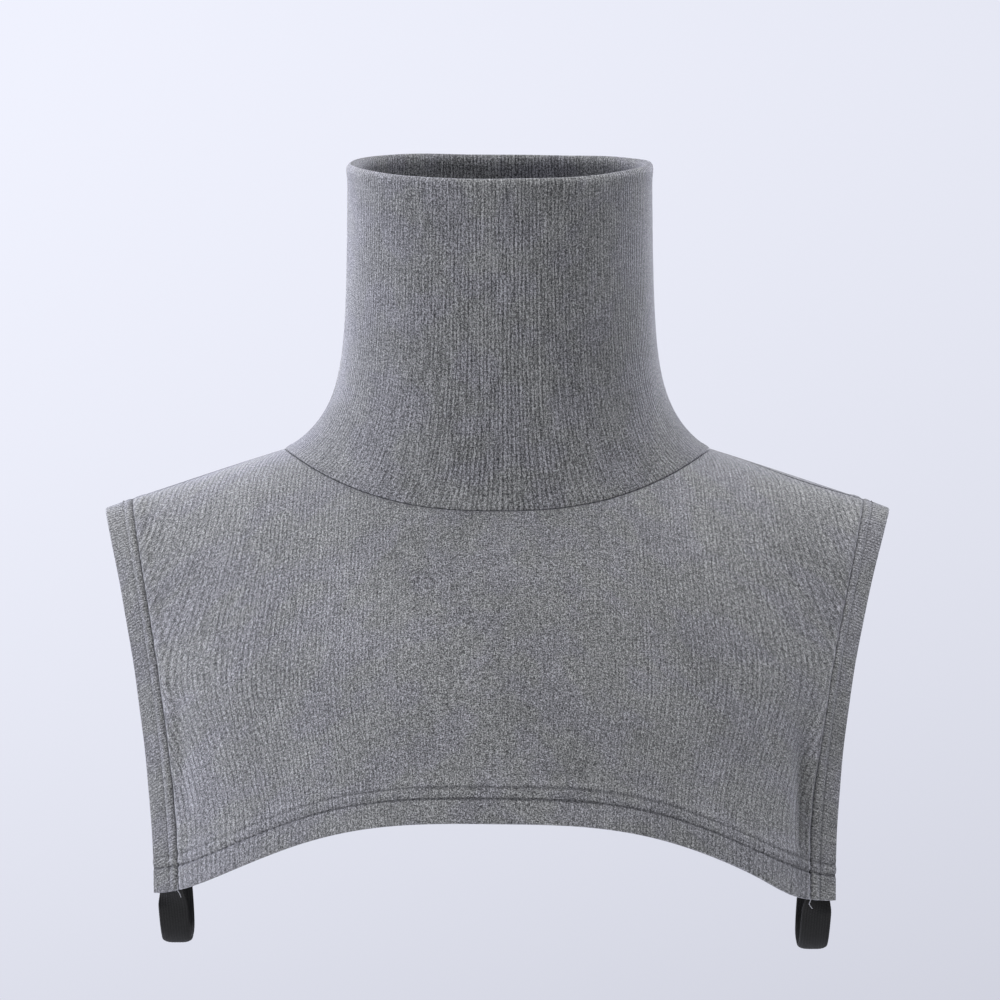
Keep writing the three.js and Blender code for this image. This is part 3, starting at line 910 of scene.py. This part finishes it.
knit = {
    "ribPitch": {"collar": 1.56, "bib": 1.36},
    "ribDepth": {"collar": 0.5, "bib": 0.29}, "coursePitch": 0.9,
    "dark": (0.0122, 0.0123, 0.0123), "middle": (0.0755, 0.0760, 0.0763),
    # collarShade: the collar's copy of the knit is darker than the bib's by this share
    "light": (0.212, 0.213, 0.216), "collarShade": 0.86,
    "fleckDepth": {"collar": 3.0, "bib": 2.1},
    "curlDepth": 3.1, "streakDepth": {"collar": 1.3, "bib": 0.6},
    "cloudDepth": 0.4, "loopDepth": 0.04, "dashDepth": 0.55, "speckDepth": 0.5,
    "fixed": {
        "Roughness": 0.92, "Sheen Weight": 0.35, "Sheen Roughness": 0.45,
        "Sheen Tint": (0.88, 0.89, 1.0, 1), "Specular IOR Level": 0.15,
    },
    "bump": (0.8, 0.00020),
    "combedRibs": (0.3, 0.9),  # strength where the ribs are hidden, and where they are combed out
    "combedFlecks": (0.8, 1), "combedCurls": (1.7, 1.35), "combedDashes": (1.2, 0.6),
    # insidePaintedLight: how much lighter the collar's inner ply is made, as painted light
    "curlScale": 1900, "insidePaintedLight": 1.45,
    # On the cloth: scales across and along it, detail, roughness, shift
    "noises": {
        "wander": ((0.16, 0.07), 2),
        "kept": ((0.45, 0.14), 2, 0.5, 5.3),
        "streaks": ((0.85, 0.07), 2, 0.6, 41.9),
        "dashes": ((0.5, 1.7), 1, 0.5, 63.3),
        "specks": ((1.3, 1.1), 1, 0.5, 77.7),
        "flecks": ((2.3, 0.85), 2, 0.6, 3.1),
        "clouds": ((0.03, 0.022), 3, 0.5, 9.2),
        "tinge": ((0.045, 0.05), 2, 0.5, 31.4),
    },
    "ramps": {
        "kept": (0.34, 0.62), "dashes": (0.62, 0.72), "specks": (0.66, 0.76), "tinge": (0.42, 0.62),
    },
    "leastRib": 0.25,
    # painted light on a rib's top and painted shade in the furrow beside it
    "ribLightAndShade": (0.75, -1.25),  # of a rib and of the furrow beside it
    "heights": (0.35, 0.1, 0.8, 0.6),  # shares of the ribs, loops, flecks and curls in the bump
    "collarCombed": (0.008, 0.036, 0.2),  # x and half width in metres, and what is left beside it
    "greenish": (0.997, 1.0, 0.985), "lavender": (1.0, 0.994, 1.04),
}

# Painted shade in grooves too narrow for the mesh, along the seams at the top and beside the fold at the
# right hem
seamShadow = {
    "rows": [  # attribute, distance, half width, strength, share lost between stitches, fainter left
        ("fromHem", 11, 0.42, 0.85, 0.3, False),
        ("fromHem", 16, 0.35, 0.5, 0.3, False),
        ("fromSide", 13, 0.4, 1.0, 0.15, False),
        ("fromSide", 8.7, 0.4, 0.45, 0.4, True),
    ],
    "top": (0.9, 1.6, 0.2),  # half width, widening on the left shoulder, strength at the neck
    "shoulder": (0.088, 0.098),  # metres out at which the shoulder's seam takes over
    # painted shadow beside the fold next to the right hem
    "fold": ((0.1322, 0.0044), (-0.155, 0.031), 0.55),  # x and z with half widths, and strength
    "colour": (0.06, 0.06, 0.06),
}


def seamShade(wire):
    # Painted shade: a gaussian round each line of stitches, which comes and goes with them as a cosine,
    # another along the seam at the top, and one for the fold.
    place = wire.position()
    x, z = place.axis(0), place.axis(2)
    left, inFront = x.ramp(0, -0.01), place.axis(1).ramp(0, -0.01)
    width, wider, atNeck = seamShadow["top"]
    onShoulder = x.maths("ABSOLUTE").ramp(*seamShadow["shoulder"])
    total = (wire.attribute("fromTop") / (left * wider + 1)).bell(0, width)
    total = total * onShoulder.between(atNeck, 1)
    foldX, foldZ, strength = seamShadow["fold"]
    total = total + x.bell(*foldX) * z.bell(*foldZ) * inFront * strength
    pitch = 2 * math.pi / bibCloth["stitchPitch"] / metresPerMm
    for name, at, width, strength, lost, fainter in seamShadow["rows"]:
        along = x if name == "fromHem" else z
        row = wire.attribute(name).bell(at, width) * ((along * pitch).cosine() * lost + (1 - lost))
        total = total + row * strength * (1.5 - left if fainter else 1)
    return total


def knitMaterial(name, kind, shade):
    # Rib columns along the cloth's length, loops across them, and flecks of light and dark fibre.
    # The furrow between two ribs is the square of half a cosine, and its depth comes and goes along
    # it. The flecks are short dashes along the ribs, with rounder curls of yarn between them.
    material, wire = newMaterial(name, knit["fixed"])
    place, inSpace = wire.cloth(), wire.position()
    noise = lambda key: place.noise(*knit["noises"][key])
    patches = lambda key: noise(key).ramp(*knit["ramps"][key])  # what is left of a noise
    u, v = place.axis(0) + (noise("wander") - 0.5), place.axis(1)
    furrows = ((u * (2 * math.pi / knit["ribPitch"][kind])).cosine() * -0.5 + 0.5).maths("POWER", 2)
    ribs = furrows.between(*knit["ribLightAndShade"])
    loops = (v * (2 * math.pi / knit["coursePitch"])).cosine()
    if kind == "bib":
        # The ribs hardly show on the middle of the chest
        combed = wire.attribute("combed")
    else:
        # They show best in the middle of the collar, where the knit is least felted
        at, width, least = knit["collarCombed"]
        combed = inSpace.axis(0).bell(at, width).between(least, 1)
    values = {"Vector": inSpace, "Scale": knit["curlScale"], "Detail": 2, "Roughness": 0.6}
    curls = wire.node("TexNoise", {}, values) - 0.5
    flecks = noise("flecks") - 0.5
    ribShare = patches("kept").between(knit["leastRib"], 1) * combed.between(*knit["combedRibs"])
    fleckShare = combed.between(*knit["combedFlecks"])
    darkDashes = patches("dashes") * combed.between(*knit["combedDashes"])
    # Painted light and shade: the ribs' tops are lighter and their furrows darker in the tone
    tone = ribs * ribShare * knit["ribDepth"][kind]
    tone = tone + flecks * fleckShare * knit["fleckDepth"][kind]
    tone = tone + curls * combed.between(*knit["combedCurls"]) * knit["curlDepth"]
    tone = tone + (noise("streaks") - 0.5) * fleckShare * knit["streakDepth"][kind]
    tone = tone + patches("specks") * knit["speckDepth"]
    tone = tone - darkDashes * knit["dashDepth"]
    # The loops add rows of painted light and shade to the tone
    tone = tone + loops * knit["loopDepth"] + (noise("clouds") - 0.5) * knit["cloudDepth"]
    tones = [tuple(shade * part for part in knit[key]) for key in ("dark", "middle", "light")]
    colour = (tone * 0.5 + 0.5).throughColours(tones)
    colour = colour.times(patches("tinge").blend(knit["greenish"], knit["lavender"]))
    if kind == "collar":
        # Painted light: the inner ply is made lighter, for light that reaches into the collar
        pale = (knit["insidePaintedLight"],) * 3
        colour = colour.times(wire.attribute("inside").blend((1, 1, 1), pale))
    if kind == "bib":
        # Painted shade in the grooves, along the seams and by the fold darkens the colour
        colour = colour.times(seamShade(wire).blend((1, 1, 1), seamShadow["colour"]))
    height = wire.weighted((ribs, loops, flecks, curls), knit["heights"])
    normal = height.bump(*knit["bump"])
    return plugIn(material, {"Base Color": colour, "Normal": normal})


threadLook = {
    "dark": (0.022, 0.022, 0.024), "light": (0.06, 0.061, 0.066),
    "twist": 900,
    "loose": 3.5,  # how much paler the loose ends are
}


def threadMaterial(name, shade):
    # Spun thread, with a fine slanting twist.
    fixed = {"Roughness": 0.7, "Sheen Weight": 0.2, "Specular IOR Level": 0.3}
    material, wire = newMaterial(name, fixed)
    values = {"Vector": wire.position(), "Scale": threadLook["twist"], "Distortion": 1.5}
    waves = wire.node("TexWave", {"bands_direction": "DIAGONAL"}, values, 1)
    colours = [tuple(shade * part for part in threadLook[key]) for key in ("dark", "light")]
    return plugIn(material, {"Base Color": waves.blend(*colours)})


tapeLook = {
    "dark": (0.0025, 0.0025, 0.0026), "light": (0.0075, 0.0075, 0.0077),
    "weftPitch": 0.7, "weftBend": 1.6, "fuzz": ((1.6, 1.6), 3, 0.6),
    "tones": (0.25, 0.3, 1.2), "heights": (0.2, 0.5, 0.7),  # shares of the cords, weft and fuzz
    "toneRange": (0.1, 1.2), "roughness": (0.65, 0.85), "bump": (0.7, 0.00012),
}


def elasticMaterial():
    # Black woven tape: warp cords along it, and weft floats that cross them at half a turn.
    fixed = {"Sheen Weight": 0.02, "Specular IOR Level": 0.15, "Sheen Roughness": 0.4}
    material, wire = newMaterial("blackElastic", fixed)
    place = wire.cloth()
    u, v = place.axis(0), place.axis(1)
    halfTurns = math.pi * elastic["cords"] / elastic["width"]
    cords = (u * (2 * halfTurns)).cosine()
    bend = (u * halfTurns).cosine() * tapeLook["weftBend"]
    weft = (v * (2 * math.pi / tapeLook["weftPitch"]) + bend).cosine()
    fuzz = place.noise(*tapeLook["fuzz"])
    yarns = (cords, weft, fuzz)
    tone = wire.weighted(yarns, tapeLook["tones"]).ramp(*tapeLook["toneRange"])
    colour = tone.blend(tapeLook["dark"], tapeLook["light"])
    normal = wire.weighted(yarns, tapeLook["heights"]).bump(*tapeLook["bump"])
    roughness = fuzz.between(*tapeLook["roughness"])
    return plugIn(material, {"Base Color": colour, "Roughness": roughness, "Normal": normal})


# Camera at the photograph's viewing angle
camera = {"place": (0.0011, -2.3, -0.0229), "lens": 186, "sensor": 36}
cameraData = bpy.data.cameras.new("camera")
cameraData.lens, cameraData.sensor_width = camera["lens"], camera["sensor"]
cameraData.clip_end = 30
cameraObject = bpy.data.objects.new("camera", cameraData)
cameraObject.location = camera["place"]
cameraObject.rotation_euler = (math.radians(90), 0, 0)
bpy.context.scene.collection.objects.link(cameraObject)
bpy.context.scene.camera = cameraObject

# Studio: a pale sweep all round that glows, with a floor far below, and soft lights that aren't seen
studio = {
    "floor": -3.3, "reach": 4.6, "height": 4.6, "bend": 1.6,
    "lightColour": (0.870, 0.887, 0.992), "darkColour": (0.640, 0.653, 0.738),
    "left": 0.59,  # metres left of the middle where the light colour starts
    "slope": 0.268,  # share of the dark colour for each metre to the right
    "horizon": 0.57,  # height from which it darkens downwards
    "sink": (0.161, 0.289),  # for each metre below, and for its square
    "sides": 64, "arcSteps": 9, "hole": 0.01,
}
lamps = [  # name, compass angle from the front, rise, distance, size, power in watts, colour
    ("overhead", 0, 88, 3.4, 2.0, 300, (1, 1, 1)),
    ("lowFront", 0, -35, 3.4, 1.6, 114, (1, 1, 1)),
    ("highRight", 90, 45, 3.4, 1.6, 34, (1, 1, 1)),
    ("lowLeft", -75, -15, 3.4, 1.6, 105, (0.95, 0.96, 1.06)),
    ("behindLeft", -110, 5, 3.4, 1.6, 116, (0.93, 0.94, 1.09)),
]


def makeStudio():
    # A profile turned round Z: a flat floor, a quarter circle up to the wall, and a flat ceiling.
    arc = np.linspace(0, math.pi / 2, studio["arcSteps"])
    bend, floor, ceiling = studio["bend"], studio["floor"], studio["height"]
    across, along = bend * np.cos(arc), bend * np.sin(arc)
    inner, hole = studio["reach"] - bend, studio["hole"]
    radii = [[hole], inner + along, inner + across, [hole]]
    heights = [[floor], floor + bend - across, ceiling - bend + along, [ceiling]]
    radii, heights = np.concatenate(radii)[:, None], np.concatenate(heights)[:, None]
    turn = turnSteps(studio["sides"])
    points = np.stack([radii * np.cos(turn), radii * np.sin(turn), heights + 0 * turn], -1)
    numbers = closed(numbersOf(points), 1)
    cloth = np.zeros((*numbers.shape, 2))
    sweep = placePiece("studio_sweep", points.reshape(-1, 3) / metresPerMm, [(numbers, cloth)])
    fixed = {"Base Color": (0, 0, 0, 1), "Roughness": 1, "Specular IOR Level": 0, "Emission Strength": 1}
    material, wire = newMaterial("studioGlow", fixed)
    place = wire.position()
    # Painted light: the sweep's glow is lighter at the left, darker to the right and below the horizon,
    # and it also lights the pieces
    below = (studio["horizon"] - place.axis(2)).maths("MAXIMUM", 0)
    linear, squared = studio["sink"]
    share = (place.axis(0) + studio["left"]) * studio["slope"] + below * below * squared + below * linear
    plugIn(material, {"Emission Color": share.blend(studio["lightColour"], studio["darkColour"])})
    sweep.data.materials.append(material)
    for name, compass, rise, distance, size, power, colour in lamps:
        data = bpy.data.lights.new(name, "AREA")
        data.size, data.energy, data.color = size, power, colour
        lamp = bpy.data.objects.new(name, data)
        turn, tilt = math.radians(compass), math.radians(rise)
        level = distance * math.cos(tilt)
        lamp.location = (level * math.sin(turn), -level * math.cos(turn), distance * math.sin(tilt))
        lamp.rotation_euler = (math.radians(90 - rise), 0, turn)
        lamp.visible_camera = False
        bpy.context.scene.collection.objects.link(lamp)


def finishPiece(piece, material, *nodes, slot="grey_knit"):
    piece.data.materials.append(material)
    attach(piece, "root")
    if nodes:
        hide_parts(*nodes)
    return piece


makeStudio()
bpy.context.scene.view_settings.view_transform = "Standard"
print("studio ready")

collarKnit = knitMaterial("collarKnit", "collar", knit["collarShade"])
bibKnit = knitMaterial("bibKnit", "bib", 1)
thread = threadMaterial("sewingThread", 1)
paleThread = threadMaterial("looseThread", threadLook["loose"])
tape = elasticMaterial()

collarPiece = finishPiece(makeCollar(), collarKnit, "collar")
frontPiece = finishPiece(makeBib("front_bib_knit", frontBib, frontDents), bibKnit, "front_bib")
backPiece = finishPiece(makeBib("back_bib_knit", backBib, backDents), bibKnit, "back_bib")
frontStitches = finishPiece(makeStitches("front_stitches", frontBib), thread)
backStitches = finishPiece(makeStitches("back_stitches", backBib), thread)
seamBand = finishPiece(makeSeamAllowance(), collarKnit)
threadEnds = [finishPiece(makeLooseEnd(*end), paleThread) for end in looseEnds]
finishPiece(makeElastic("left_elastic", -1), tape, "left_strap", slot="black_elastic")
finishPiece(makeElastic("right_elastic", 1), tape, "right_strap", slot="black_elastic")
print("pieces made")
